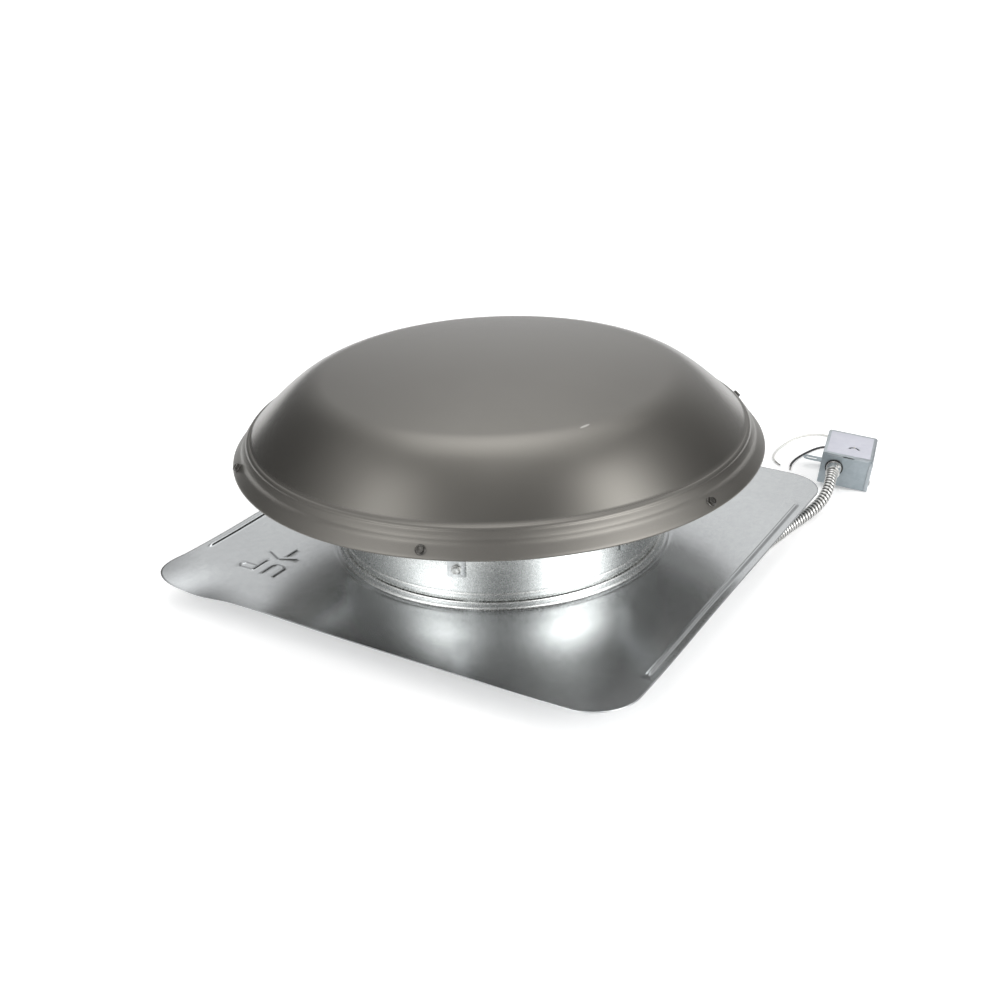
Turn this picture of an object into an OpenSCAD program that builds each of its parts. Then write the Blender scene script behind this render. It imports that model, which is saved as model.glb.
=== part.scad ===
// Roof-mounted attic exhaust fan: domed weather cap on a drawn sheet-metal
// flashing, fan and motor in the throat, thermostat box on flexible conduit.
// +Z is up along the fan's axis, +Y is the up-slope side of the flashing.
// Z = 0 is the surface the unit stands on; the flashing's underside is at stand_h.

/* [Stance] */
// Height of the flashing's flat underside above the feet of the motor bracket
stand_h = 34; // [30:1:40]
// Fan axis ahead of the middle of the footprint
axis_y = 4; // [4:1:4]

/* [Dome] */
// Radius of the dome's brim
dome_r = 309; // [309:1:309]
// Height of the dome's crown above the flashing
dome_h = 222.1; // [220:0.1:224]
// Drop of the crown from its middle to the shoulder
crown_drop = 12.5; // [11:0.5:13]
// Radius where the crown turns into the shoulder
crown_r = 197; // [196:1:198]
// Sheet thickness of the dome
dome_t = 0.9; // [0.8:0.05:1]

/* [Flashing] */
// Side of the square flashing
flash_w = 609; // [606:1:610]
// How far the flashing's middle lies down-slope of the fan's axis
flash_shift = 12.4; // [11:0.2:13]
// Corner radius of the flashing
flash_cr = 50; // [30:1:60]
// Sheet thickness of the flashing
flash_t = 0.8; // [0.7:0.05:0.9]
// Outer radius of the broad drawn flare round the throat
flare_r = 244; // [225:1:246]
// Length of the stiffening ribs along both sides
rib_len = 430; // [380:5:440]

/* [Throat] */
// Outer radius of the throat collar
collar_r = 192.5; // [192.5:0.5:192.5]
// Sheet thickness of the collar
collar_t = 0.8; // [0.8:0.1:0.8]
// Height of the collar above the flashing
collar_h = 122; // [116:1:124]

/* [Brackets] */
// Number of dome brackets round the collar
bracket_n = 6; // [6:1:6]
// Angle of the first dome bracket
bracket_a0 = 47.5; // [45:0.5:50]
// Width of a dome bracket
bracket_w = 20; // [16:1:22]

/* [Fan] */
// Radius to the blade tips
blade_r = 177; // [160:1:180]
// Number of blades
blade_n = 5; // [3:1:6]
// Pitch of the blades in degrees
blade_pitch = 24; // [18:1:26]
// Height of the blade plane
blade_z = 127; // [126:1:130]

/* [Motor] */
// Outer radius of the motor's can
can_r = 50; // [50:1:50]
// Bottom and top of the motor's can
can_z0 = 22; // [22:1:22]
// Top of the motor's can
can_z1 = 92; // [92:1:92]
// Shaft radius
shaft_r = 3.97; // [3.95:0.01:3.98]

/* [Thermostat box] */
// Width of the box
box_w = 66; // [64:1:68]
// Height of the box
box_h = 45; // [45:1:45]
// Depth of the box
box_d = 80; // [80:1:80]
// Turn of the box about the vertical
box_yaw = 192; // [190:1:194]
// Lean of the box on its lower long edge
box_tilt = 7; // [6:1:8]
// Travel of the temperature pointer each way
dial_swing = 60; // [30:5:60]

/* [Hidden] */
h = stand_h;
plate_y = axis_y - flash_shift;
box_o = [-275.6, -357, box_w * sin(box_tilt)];
$fn = 96;

// ---- helpers -------------------------------------------------------------
function unit(v) = v / norm(v);
function left(d) = [-d[1], d[0]];
// a strip of thickness t on the left of a polyline, with mitred corners
function off(p, t) = [for (i = [0:len(p) - 1])
  let (d0 = unit(i == 0 ? p[1] - p[0] : p[i] - p[i - 1]),
       d1 = unit(i == len(p) - 1 ? p[i] - p[i - 1] : p[i + 1] - p[i]),
       n0 = left(d0), n1 = left(d1))
  p[i] + t * (n0 + n1) / (1 + n0 * n1)];
function rev(p) = [for (i = [len(p) - 1:-1:0]) p[i]];
function strip(p, t) = concat(p, rev(off(p, t)));
function bez(a, b, c, d, n) = [for (i = [1:n]) let (t = i / n)
  pow(1 - t, 3) * a + 3 * pow(1 - t, 2) * t * b + 3 * (1 - t) * t * t * c + pow(t, 3) * d];
// Catmull-Rom through hand-placed points
function cr(p, i, t) = let (n = len(p) - 1, a = p[max(i - 1, 0)], b = p[i], c = p[i + 1], d = p[min(i + 2, n)])
  0.5 * (2 * b + (c - a) * t + (2 * a - 5 * b + 4 * c - d) * t * t + (3 * b - a - 3 * c + d) * t * t * t);
function smooth_path(p, k) = concat([for (i = [0:len(p) - 2], j = [0:k - 1]) cr(p, i, j / k)], [p[len(p) - 1]]);
module on_axis() { translate([0, axis_y, 0]) children(); }
module spoke(a) { on_axis() rotate([0, 0, a]) children(); }
// a flat strap: 2D profile in (radius, height), width w, centred on the spoke
module strap(a, prof, w) { spoke(a) rotate([90, 0, 0]) translate([0, 0, -w / 2]) linear_extrude(w) polygon(prof); }
// tube swept along a path: rings of `sides` points, flat ends
function tangent(p, i) = unit(p[min(i + 1, len(p) - 1)] - p[max(i - 1, 0)]);
function ring(c, t, r, sides) = let (u = unit(cross(t, [0, 0, 1])), v = cross(u, t))
  [for (k = [0:sides - 1]) c + r * (cos(360 * k / sides) * u + sin(360 * k / sides) * v)];
module tube(p, r, sides, d0, d1) {
  n = len(p);
  pts = [for (i = [0:n - 1]) each ring(p[i], i == 0 ? d0 : i == n - 1 ? d1 : tangent(p, i), r, sides)];
  polyhedron(pts, concat(
    [[for (k = [0:sides - 1]) k]],
    [for (i = [0:n - 2], k = [0:sides - 1]) let (a = i * sides + k, b = i * sides + (k + 1) % sides)
      each [[a, a + sides, b], [b, a + sides, b + sides]]],
    [[for (k = [sides - 1:-1:0]) (n - 1) * sides + k]]), convexity = 8);
}

// ---- dome ----------------------------------------------------------------
wall_foot = [286.9, 150.8 + h];
sh0 = [crown_r, dome_h - crown_drop + h];
sh_dir = unit([1, -2 * crown_drop / crown_r]);
sh_l = norm(wall_foot - sh0);
crown = [for (i = [0:7]) let (r = i * crown_r / 8) [r, dome_h + h - crown_drop * pow(r / crown_r, 2)]];
shoulder = bez(sh0, sh0 + 0.279 * sh_l * sh_dir, wall_foot + 0.497 * sh_l * [-cos(43.7), sin(43.7)], wall_foot, 14);
// crease, small bead, cove, flared brim and turned edge
brim = [[289.2, 150.4 + h], [291.2, 148.9 + h], [292.2, 146.9 + h], [294.6, 144.2 + h], [296.6, 141.4 + h],
        [297.9, 138.3 + h], [299.5, 135.6 + h], [307.6, 126.9 + h], [dome_r, 124.3 + h]];
dome_out = concat(crown, [sh0], shoulder, brim);
dome_in = [for (q = off(dome_out, -dome_t)) [max(q[0], 0), q[1]]];
module dome() color([0.43, 0.42, 0.40]) difference() {
  on_axis() rotate_extrude($fn = 180) polygon(concat(dome_out, rev(dome_in)));
  for (k = [0:bracket_n - 1]) brim_screw_at(bracket_a0 + 60 * k) translate([0, 0, -6]) cylinder(h = 10, r = 2.3, $fn = 24);
}

// ---- flashing ------------------------------------------------------------
neck_r = collar_r - collar_t - 0.2;
flare_top = concat([[neck_r, 19.5], [neck_r, 8.4], [neck_r + 0.5, 7.5], [neck_r + 1.6, 6.8]],
  [for (i = [1:9]) let (u = i / 9) [neck_r + 1.6 + u * (flare_r - neck_r - 1.6), flash_t + (6.8 - flash_t) * pow(1 - u, 1.7)]],
  [[flare_r + 4, flash_t]]);
module mark_stroke(p) linear_extrude(0.7) polygon(concat(off(p, 1.3), rev(off(p, -1.3))));
module flashing() color([0.66, 0.68, 0.70]) {
  translate([0, plate_y, h]) linear_extrude(flash_t) difference() {
    union() {
      square([flash_w, flash_w - 2 * flash_cr], center = true);
      square([flash_w - 2 * flash_cr, flash_w], center = true);
      for (sx = [-1, 1], sy = [-1, 1]) translate([sx, sy] * (flash_w / 2 - flash_cr)) circle(r = flash_cr);
    }
    translate([0, flash_shift]) circle(r = flare_r + 2, $fn = 180);
  }
  on_axis() translate([0, 0, h]) rotate_extrude($fn = 180) polygon(concat(flare_top, rev(off(flare_top, -flash_t))));
  for (s = [-1, 1]) translate([s * 293, plate_y, h + flash_t - 0.1]) rotate([90, 0, 0])
    translate([0, 0, -rib_len / 2]) linear_extrude(rib_len) polygon([[-3, 0], [-1.6, 2.1], [1.6, 2.1], [3, 0]]);
  // raised orientation mark: two letters over an arrow that points up-slope
  translate([0, 0, h + flash_t - 0.1]) {
    mark_stroke([[173, 227], [173, 209], [177, 204.5], [187, 204.5], [191, 209], [191, 227]]);
    mark_stroke([[206, 203], [206, 227], [224, 227], [229, 222], [224, 217], [208, 217]]);
    mark_stroke([[176, 184], [195, 193], [214, 184]]);
    mark_stroke([[191, 182], [191, 166]]);
  }
}

// ---- collar --------------------------------------------------------------
collar_out = [[collar_r - 3.4, collar_h], [collar_r - 3.4, collar_h + 1.6], [collar_r - 2.2, collar_h + 2], [collar_r, collar_h],
  [collar_r, 21.4], [collar_r - 0.5, 20.6], [collar_r + 0.4, 19.4],
  [collar_r + 0.4, 14.4], [collar_r - 0.2, 13.4], [collar_r + 2.2, 12.6], [collar_r + 3.6, 11.2], [collar_r + 4, 9.8],
  [collar_r + 3.4, 8.4], [collar_r + 2.2, 7.4], [collar_r + 0.2, 7.8], [collar_r - 0.7, 9.2], [collar_r - 0.8, 12]];
module collar() color([0.76, 0.78, 0.79]) on_axis() translate([0, 0, h]) difference() {
  rotate_extrude($fn = 180) polygon(concat(collar_out, [[collar_r - collar_t, 13], [collar_r - collar_t, collar_h - 0.8], [collar_r - 2.4, collar_h - 0.8]]));
  for (k = [0:bracket_n - 1]) rotate([0, 0, bracket_a0 + 60 * k]) translate([185, 0, 50]) rotate([0, 90, 0]) cylinder(h = 14, r = 2.3, $fn = 24);
}

// ---- dome brackets and screws --------------------------------------------
// end tab lies along the inside of the flared brim
tab_d = unit([8.1, -8.7]);
tab_n = [-tab_d[1], tab_d[0]];
brim_p = [303.5, 131.3 + h];
tab_a = brim_p - 5.4 * tab_d - (dome_t + 0.15) * tab_n;
tab_b = brim_p + 5.4 * tab_d - (dome_t + 0.15) * tab_n;
dome_strap = [[collar_r + 0.3, 41 + h], [collar_r + 0.3, 78 + h], [tab_a[0] - 3, tab_a[1] - 0.6], tab_a, tab_b];
module brim_screw_at(a) spoke(a) translate([brim_p[0], 0, brim_p[1]]) rotate([0, 90 - atan2(tab_n[1], tab_n[0]), 0]) children();
module dome_brackets() color([0.72, 0.73, 0.74]) for (k = [0:bracket_n - 1]) difference() {
  strap(bracket_a0 + 60 * k, strip(dome_strap, -1.5), bracket_w);
  spoke(bracket_a0 + 60 * k) translate([185, 0, 50 + h]) rotate([0, 90, 0]) cylinder(h = 20, r = 2.3, $fn = 24);
  brim_screw_at(bracket_a0 + 60 * k) translate([0, 0, -8]) cylinder(h = 10, r = 2.3, $fn = 24);
}
// hex washer-head screw, head up, underside of the washer at z = 0
module hex_screw(l) { cylinder(h = 1.1, r = 5.6, $fn = 48); cylinder(h = 4.4, r = 4.62, $fn = 6); translate([0, 0, -l]) cylinder(h = l + 0.5, r = 2.1, $fn = 32); }
module dome_screws() color([0.35, 0.34, 0.33]) for (k = [0:bracket_n - 1]) brim_screw_at(bracket_a0 + 60 * k) translate([0, 0, 0.02]) hex_screw(11);
module bracket_screws() color([0.8, 0.8, 0.8]) for (k = [0:bracket_n - 1])
  spoke(bracket_a0 + 60 * k) translate([collar_r + 1.85, 0, 50 + h]) rotate([0, 90, 0]) hex_screw(11);

// ---- bird screen ---------------------------------------------------------
module bird_screen() color([0.6, 0.62, 0.64]) on_axis() difference() {
  translate([0, 0, h + collar_h + 2.1]) cylinder(h = 84.9, r = collar_r - 2.2, $fn = 180);
  translate([0, 0, h + collar_h]) cylinder(h = 92, r = collar_r - 3.2, $fn = 180);
  for (k = [0:17], j = [0:2]) rotate([0, 0, 10 * k]) translate([-200, -13, h + collar_h + 5.5 + 28 * j]) cube([400, 26, 24]);
}

// ---- motor bracket -------------------------------------------------------
arm = [[64, 0], [121, 0], [187.2, 53], [189, 57], [189, 94]];
module motor_bracket() color([0.70, 0.71, 0.72]) difference() {
  union() {
    on_axis() rotate_extrude() polygon([[20, 8], [60, 8], [60, 0], [75, 0], [75, 2], [62, 2], [62, 10], [20, 10]]);
    for (k = [0:2]) strap(107.5 + 120 * k, strip(arm, 2), 25);
  }
  for (k = [0:2]) spoke(107.5 + 120 * k) translate([180, 0, 50 + h]) rotate([0, 90, 0]) cylinder(h = 20, r = 2.3, $fn = 24);
  for (k = [0:3]) spoke(45 + 90 * k) translate([34, 0, 0]) cylinder(h = 20, r = 2.7, $fn = 32);
}
module motor_studs() color([0.7, 0.7, 0.72]) for (k = [0:3]) spoke(45 + 90 * k) translate([34, 0, 0]) {
  translate([0, 0, 1.5]) cylinder(h = 11.5, r = 2.5, $fn = 32);
  translate([0, 0, 12.5]) cylinder(h = 3, r = 4.6, $fn = 6);
}
module motor_stud_nuts() color([0.7, 0.7, 0.72]) for (k = [0:3]) spoke(45 + 90 * k) translate([34, 0, 3.9]) difference() {
  cylinder(h = 4, r = 4.62, $fn = 6);
  translate([0, 0, -1]) cylinder(h = 7, r = 2.52, $fn = 32);
}

// ---- motor ---------------------------------------------------------------
can_i = can_r - 1.2;
module motor_can() color([0.16, 0.16, 0.17]) difference() {
  on_axis() translate([0, 0, can_z0]) rotate_extrude() translate([can_i, 0]) square([1.2, can_z1 - can_z0]);
  translate([-60, axis_y, 36]) rotate([0, 90, 0]) cylinder(h = 20, r = 9, $fn = 48);
  for (a = [45, 135, 225, 315], z = [82]) spoke(a) translate([40, -9, z]) cube([20, 18, 4]);
}
module bell_holes() for (k = [0:3]) rotate([0, 0, 45 + 90 * k]) translate([46.6, 0, -30]) cylinder(h = 200, r = 1.9, $fn = 24);
module motor_bottom_bell() color([0.62, 0.63, 0.64]) on_axis() difference() {
  rotate_extrude() polygon([[0, 10], [46, 10], [can_r, 12.5], [can_r, 22], [can_i, 22], [can_i, 13.4], [46, 12.5],
    [14, 12.5], [14, 21.5], [10, 21.5], [10, 13], [0, 13]]);
  bell_holes();
  for (k = [0:3]) rotate([0, 0, 45 + 90 * k]) translate([34, 0, 0]) cylinder(h = 20, r = 2.6, $fn = 32);
  for (k = [0:3]) rotate([0, 0, 15 + 90 * k]) translate([22, -3, 5]) cube([18, 6, 12]);
}
module motor_top_bell() color([0.62, 0.63, 0.64]) on_axis() difference() {
  rotate_extrude() polygon([[can_i, 92], [can_r, 92], [can_r, 101], [46, 104], [14, 104], [13, 108], [5.5, 108], [5.5, 106.5], [10, 106.5], [10, 96],
    [14, 96], [14, 101.5], [46, 101.5], [can_i, 100]]);
  bell_holes();
  for (k = [0:7]) rotate([0, 0, 22.5 + 45 * k]) translate([22, -3, 95]) cube([19, 6, 12]);
}
module stator_core() color([0.45, 0.46, 0.47]) on_axis() difference() {
  translate([0, 0, 52]) cylinder(h = 26, r = can_i - 0.02);
  translate([0, 0, 50]) cylinder(h = 30, r = 28);
  for (k = [0:11]) rotate([0, 0, 15 + 30 * k]) translate([28 - 3, -2.5, 50]) cube([14, 5, 30]);
  for (k = [0:3]) rotate([0, 0, 45 + 90 * k]) translate([47.4, 0, 50]) cylinder(h = 30, r = 2.7, $fn = 24);
}
module stator_windings() color([0.62, 0.33, 0.16]) on_axis() for (z = [41.5, 78.1]) translate([0, 0, z]) rotate_extrude()
  polygon([[31, 2], [33, 0.6], [36, 0], [39, 0], [42, 0.6], [44, 2], [44, 8.4], [42, 9.8], [39, 10.4], [36, 10.4], [33, 9.8], [31, 8.4]]);
module bearing(z) on_axis() translate([0, 0, z]) difference() { cylinder(h = 8, r = 10); translate([0, 0, -1]) cylinder(h = 10, r = 4.02); }
module top_bearing() color([0.72, 0.58, 0.35]) bearing(98.4);
module bottom_bearing() color([0.72, 0.58, 0.35]) bearing(13.2);
module motor_through_bolts() color([0.75, 0.75, 0.77]) on_axis() for (k = [0:3]) rotate([0, 0, 45 + 90 * k]) translate([46.6, 0, 0]) {
  translate([0, 0, 10.4]) cylinder(h = 97, r = 1.7, $fn = 24);
  translate([-0.4, 0, 104.05]) cylinder(h = 2.2, r = 3.2, $fn = 6);
}

// ---- fan -----------------------------------------------------------------
module motor_shaft() color([0.78, 0.78, 0.8]) on_axis() difference() {
  translate([0, 0, 13.05]) cylinder(h = 138, r = shaft_r, $fn = 64);
  translate([3.2, -5, 128]) cube([5, 10, 30]);
}
module rotor() color([0.5, 0.5, 0.52]) on_axis() difference() {
  union() {
    translate([0, 0, 52]) cylinder(h = 26, r = 27.5);
    for (z = [47, 78]) translate([0, 0, z]) cylinder(h = 5, r = 25.5);
  }
  translate([0, 0, 40]) cylinder(h = 50, r = 4);
  for (z = [40, 80.9]) translate([0, 0, z]) cylinder(h = 8, r = 17);
}
module fan_hub() color([0.75, 0.76, 0.77]) on_axis() difference() {
  union() {
    translate([0, 0, 130.3]) cylinder(h = 18, r = 11);
    translate([0, 0, 127]) cylinder(h = 3.4, r = 18);
  }
  translate([0, 0, 120]) cylinder(h = 40, r = 4.0, $fn = 64);
  translate([0, 0, 141]) rotate([0, 90, 0]) cylinder(h = 20, r = 2.6, $fn = 32);
}
module hub_set_screw() color([0.3, 0.3, 0.32]) on_axis() translate([3.35, 0, 141]) rotate([0, 90, 0]) difference() {
  cylinder(h = 9, r = 2.5, $fn = 32);
  translate([0, 0, 6.5]) cylinder(h = 5, r = 1.3, $fn = 6);
}
module pitched(k) on_axis() rotate([0, 0, 360 / blade_n * k + 11.5]) translate([0, 0, blade_z]) rotate([blade_pitch, 0, 0]) children();
module fan_spider() color([0.7, 0.71, 0.72]) difference() {
  union() {
    on_axis() translate([0, 0, 125]) cylinder(h = 2, r = 26);
    for (k = [0:blade_n - 1]) pitched(k) translate([22, -11, -2]) cube([60, 22, 2]);
  }
  on_axis() translate([0, 0, 110]) cylinder(h = 30, r = 4.4);
  for (k = [0:blade_n - 1], x = [48, 72]) pitched(k) translate([x, 0, -5]) cylinder(h = 10, r = 2.05, $fn = 24);
}
blade_pts = concat([[38, -24], [46, -29]], [for (i = [0:8]) let (a = -20.5 + 41 * i / 8) blade_r * [cos(a), sin(a)]] * 0.999,
  [[46, 29], [38, 24]]);
module fan_blades() color([0.80, 0.81, 0.82]) for (k = [0:blade_n - 1]) difference() {
  pitched(k) translate([0, 0, 0.05]) linear_extrude(1.2) intersection() {
    polygon([[38, -22], [44, -28], [90, -42], [150, -56], [200, -60], [200, 60], [150, 56], [90, 42], [44, 28], [38, 22]]);
    translate([blade_r - 172, 0]) circle(r = 172, $fn = 120);
  }
  for (x = [48, 72]) pitched(k) translate([x, 0, -5]) cylinder(h = 10, r = 2.05, $fn = 24);
}
module blade_rivets() color([0.6, 0.6, 0.62]) for (k = [0:blade_n - 1], x = [48, 72]) pitched(k) translate([x, 0, 0]) {
  translate([0, 0, -2.6]) cylinder(h = 4.4, r = 2, $fn = 24);
  translate([0, 0, 1.26]) cylinder(h = 1.3, r = 3.8, $fn = 24);
  translate([0, 0, -3.3]) cylinder(h = 1.28, r = 3.2, $fn = 24);
}

// ---- thermostat box, in its own frame: x across, y back, z up --------------
module in_box() translate(box_o) rotate([0, box_tilt, box_yaw]) children();
function boxpt(p) = let (a = box_tilt, b = box_yaw, q = [p[0] * cos(a) + p[2] * sin(a), p[1], -p[0] * sin(a) + p[2] * cos(a)])
  box_o + [q[0] * cos(b) - q[1] * sin(b), q[0] * sin(b) + q[1] * cos(b), q[2]];
con = [18, 0, 25];
dial_c = [38, 25];
module thermostat_box() color([0.56, 0.60, 0.62]) in_box() difference() {
  union() {
    translate([1.1, 0, 0]) cube([box_w - 2.2, box_d, 1]);
    translate([1.1, 0, 0]) cube([box_w - 2.2, 1, box_h - 1.1]);
    translate([1.1, box_d - 1, 0]) cube([box_w - 2.2, 1, box_h - 1.1]);
    // slotted mounting ear
    translate([-20, box_d - 15, 0]) cube([22, 14, 1]);
    translate([-20, box_d - 8, 0]) cylinder(h = 1, r = 7, $fn = 40);
    // cover tabs
    for (y = [6, box_d - 16]) translate([box_w - 2.6, y, 0]) cube([1.5, 10, 14]);
  }
  translate([con[0], -5, con[2]]) rotate([-90, 0, 0]) cylinder(h = 10, r = 11.1, $fn = 64);
  translate([14, box_d - 5, 14]) rotate([-90, 0, 0]) cylinder(h = 10, r = 8, $fn = 48);
  translate([26, -1, box_h - 3]) cube([15, 3, 5]);
  hull() for (x = [-21, -10]) translate([x, box_d - 8, -1]) cylinder(h = 3, r = 2.4, $fn = 32);
  for (y = [11, box_d - 11]) translate([box_w - 6, y, 8]) rotate([0, 90, 0]) cylinder(h = 8, r = 1.5, $fn = 24);
  for (x = [12, 56]) translate([x, 46, -1]) cylinder(h = 3, r = 2.2, $fn = 24);
}
// slot of width w along an arc of radius r, a degrees each way from +y
module arc_slot(r, w, a, ht) linear_extrude(ht) polygon(concat(
  [for (t = [-a:a / 8:a]) (r + w / 2) * [sin(t), cos(t)]], [for (t = [a:-a / 8:-a]) (r - w / 2) * [sin(t), cos(t)]]));
module thermostat_cover() color([0.72, 0.75, 0.77]) in_box() difference() {
  union() {
    difference() {
      cube([box_w, box_d, box_h]);
      translate([1, -1, -1]) cube([box_w - 2, box_d + 2, box_h]);
    }
    translate([6, -1, box_h - 1]) cube([box_w - 12, 2, 1]);
    translate([6, -1, box_h - 3]) cube([box_w - 12, 0.9, 3]);
  }
  translate([26, -2, box_h - 2.6]) cube([15.5, 3, 1.4]);
  translate([dial_c[0], dial_c[1], box_h - 3]) arc_slot(6.5, 2.4, 76, 6);
  translate([-1, box_d - 15.3, -1]) cube([3, 14.6, 2.3]);
  for (y = [11, box_d - 11]) translate([box_w - 3, y, 8]) rotate([0, 90, 0]) cylinder(h = 6, r = 1.8, $fn = 24);
}
module blank_label() color([0.86, 0.87, 0.90]) in_box() difference() {
  translate([4, 3.5, box_h + 0.02]) cube([57, 72, 0.25]);
  translate([dial_c[0], dial_c[1], box_h - 3]) arc_slot(6.5, 3.2, 79, 6);
}
module cover_screws() color([0.8, 0.8, 0.8]) in_box() for (y = [11, box_d - 11]) translate([0, y, 8]) rotate([0, 90, 0]) {
  translate([0, 0, box_w + 0.02]) cylinder(h = 1.6, r = 3, $fn = 32);
  translate([0, 0, box_w - 5]) cylinder(h = 5.1, r = 1.4, $fn = 24);
}
module thermostat_switch() color([0.13, 0.13, 0.14]) in_box() difference() {
  union() {
    translate([24, 11, 1.05]) cube([28, 28, 28]);
    translate([dial_c[0], dial_c[1], 29]) cylinder(h = 11.5, r = 3, $fn = 48);
    translate([27, 14, 29]) cube([5, 4, 2.5]);
    translate([44, 14, 29]) cube([5, 4, 2.5]);
  }
  for (x = [29, 46]) translate([x, 30, 24]) cylinder(h = 8, r = 1.5, $fn = 24);
}
module setpoint_dial() color([0.85, 0.4, 0.15]) in_box() translate([dial_c[0], dial_c[1], 0]) difference() {
  union() {
    translate([0, 0, 36]) cylinder(h = 3, r = 10, $fn = 64);
    translate([0, 6.5, 38]) cylinder(h = 8.6, r = 0.9, $fn = 24);
  }
  translate([0, 0, 30]) cylinder(h = 20, r = 3.06, $fn = 48);
}
module lead_bushing() color([0.1, 0.1, 0.1]) in_box() translate([14, box_d - 3, 14]) rotate([-90, 0, 0]) difference() {
  union() {
    cylinder(h = 1.95, r = 10, $fn = 48);
    translate([0, 0, 1]) cylinder(h = 3, r = 7.9, $fn = 48);
    translate([0, 0, 3.05]) cylinder(h = 1.95, r = 10, $fn = 48);
  }
  for (s = [-1, 1]) translate([2.8 * s, 0, -1]) cylinder(h = 9, r = 1.6, $fn = 32);
}
module ground_screw() color([0.2, 0.5, 0.25]) in_box() translate([56, 46, 0]) {
  translate([0, 0, -0.1]) cylinder(h = 4, r = 2, $fn = 24);
  translate([0, 0, 1.02]) cylinder(h = 3.6, r = 4.2, $fn = 6);
}

// ---- conduit and its fittings ---------------------------------------------
// die-cast connector along +z: shoulder at z = 0, cable side up, two clamp screws across the body
module connector() difference() {
  union() {
    translate([0, 0, -6]) cylinder(h = 7, r = 8.8, $fn = 64);
    translate([0, 0, 0.05]) cylinder(h = 2, r = 9.8, $fn = 64);
    translate([0, 0, 1]) cylinder(h = 17, r = 9.2, $fn = 64);
    for (s = [-1, 1]) rotate([0, 0, 90 * s - 35]) translate([8, 0, 9]) rotate([0, 90, 0]) cylinder(h = 3, r = 3, $fn = 40);
  }
  translate([0, 0, -10]) cylinder(h = 16, r = 6, $fn = 48);
  translate([0, 0, 5]) cylinder(h = 20, r = 7.6, $fn = 48);
  for (s = [-1, 1]) rotate([0, 0, 90 * s - 35]) translate([7, 0, 9]) rotate([0, 90, 0]) cylinder(h = 6, r = 1.6, $fn = 24);
}
module locknut() difference() {
  linear_extrude(2.6) polygon([for (i = [0:35]) (i % 6 < 2 ? 13 : 11.4) * [cos(10 * i), sin(10 * i)]]);
  translate([0, 0, -1]) cylinder(h = 5, r = 8.85, $fn = 64);
}
module at_box_con() in_box() translate([con[0], 0, con[2]]) rotate([90, 0, 0]) children();
module at_motor_con() translate([-can_r, axis_y, 36]) rotate([0, -90, 0]) children();
module box_connector() color([0.78, 0.79, 0.8]) at_box_con() connector();
module box_connector_locknut() color([0.66, 0.67, 0.68]) at_box_con() translate([0, 0, -3.7]) locknut();
module motor_connector() color([0.78, 0.79, 0.8]) at_motor_con() rotate([0, 0, 90]) translate([0, 0, 0.3]) connector();
module motor_connector_locknut() color([0.66, 0.67, 0.68]) at_motor_con() translate([0, 0, -5.1]) difference() {
  cylinder(h = 2.6, r = 11, $fn = 48);
  translate([0, 0, -1]) cylinder(h = 5, r = 8.85, $fn = 64);
}
module clamp_pair() for (s = [-1, 1]) rotate([0, 0, 90 * s - 35]) translate([0, 0, 9]) rotate([0, 90, 0]) {
  translate([0, 0, 7.9]) cylinder(h = 3.4, r = 1.5, $fn = 24);
  translate([0, 0, 11.03]) cylinder(h = 1.3, r = 2.5, $fn = 32);
}
module connector_clamp_screws() color([0.7, 0.7, 0.7]) {
  at_box_con() clamp_pair();
  at_motor_con() rotate([0, 0, 90]) translate([0, 0, 0.3]) clamp_pair();
}

conduit_r = 7.5;
// route on the ground, from the box to the motor
conduit_route = [boxpt([18, -5, 25]), boxpt([18, -13, 25]), boxpt([18, -22, 25]), [-303.5, -325, 29.2],
  [-306.4, -308, 25], [-306.8, -291, 19.2], [-304, -273, 13.9], [-298.5, -252, 9.9], [-292.5, -229, 8.1], [-287.5, -204, 7.6],
  [-283.5, -178, 7.6], [-279, -150, 7.6], [-272, -122, 7.6], [-261, -95, 7.6], [-245, -71, 7.6], [-225, -50, 7.6],
  [-202, -32, 7.7], [-179, -18, 8.8], [-158, -8, 12.2], [-139, -1.5, 17.8], [-121, 2, 24.6], [-104, 3.6, 31],
  [-89, 4, 34.8], [-76, 4, 35.9], [-66, 4, 36], [-55.3, 4, 36]];
module flexible_conduit() color([0.7, 0.71, 0.72]) let (p = smooth_path(conduit_route, 2))
  tube(p, conduit_r, 12, unit(boxpt([18, -13, 25]) - boxpt([18, -5, 25])), [1, 0, 0]);

lead_r = 1.5;
// loose leads lying on the ground behind and beside the box
white_route = [boxpt([16.8, box_d - 4, 14]), boxpt([16.8, box_d + 4, 14]), [-273.6, -455, 17], [-271.6, -467.5, 10.8], [-269.8, -480, 5],
  [-266.5, -493, 2.1], [-261, -506, 1.6], [-253, -518, 1.6], [-242, -527, 1.6], [-229, -531, 1.6], [-216, -527, 1.6], [-205, -517, 1.6],
  [-197, -503, 1.6], [-192, -486, 1.6], [-189, -468, 1.6], [-187.5, -450, 1.6], [-188.5, -434, 1.6], [-192, -420, 1.6],
  [-199, -409, 1.6], [-209, -400, 1.6]];
black_route = [boxpt([11.2, box_d - 4, 14]), boxpt([11.2, box_d + 4, 14]), [-268.2, -453.5, 17.2], [-265.6, -465, 10.4], [-262, -476, 4.4],
  [-256.8, -484.8, 1.9], [-249, -489.5, 1.6], [-241, -486.5, 1.6], [-234, -475.5, 1.6], [-228.5, -460, 1.6], [-224, -443, 1.6],
  [-221.5, -426, 1.6], [-222, -409, 1.6], [-226.5, -392, 1.6]];
module lead(p) let (q = smooth_path(p, 2)) tube(q, lead_r, 8, unit(p[1] - p[0]), unit(p[len(p) - 1] - p[len(p) - 2]));
module white_lead() color([0.9, 0.9, 0.88]) lead(white_route);
module black_lead() color([0.08, 0.08, 0.08]) lead(black_route);

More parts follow.
